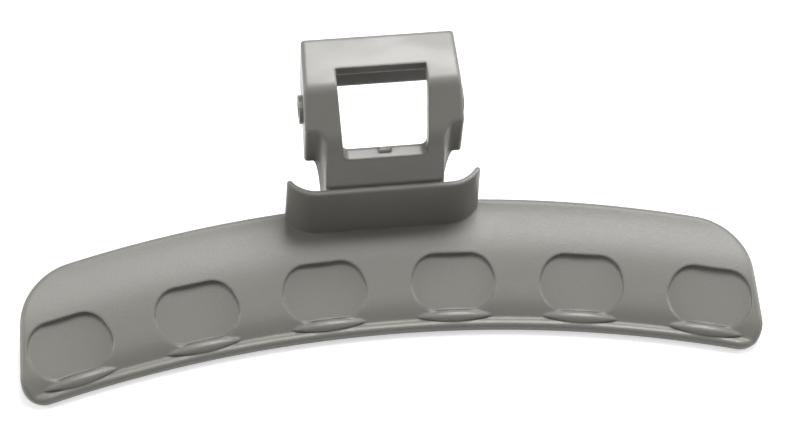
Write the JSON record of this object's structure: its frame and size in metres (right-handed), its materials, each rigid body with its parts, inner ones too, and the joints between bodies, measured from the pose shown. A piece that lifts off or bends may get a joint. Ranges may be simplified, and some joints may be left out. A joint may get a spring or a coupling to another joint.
{
  "type": "washing machine door handle",
  "caption": "Moulded pull handle for a front-loading washer door: curved finger blade with pockets, collar and a windowed neck with a pivot bore.",
  "frame": {"origin": "centre of the pivot bore, midway between the neck's two side walls", "axes": "+X along the handle and along the pivot bore, +Y from the finger lip of the blade to the back of the neck, +Z in the direction the mould opens, away from the blade's outer face"},
  "size_m": [0.1858, 0.0665, 0.0545],
  "materials": {
    "grey_plastic": "satin moulded grey, fine grain on the blade, smooth on neck and collar"
  },
  "bodies": {
    "root": {"door_handle": "grey_plastic"}
  },
  "joints": []
}
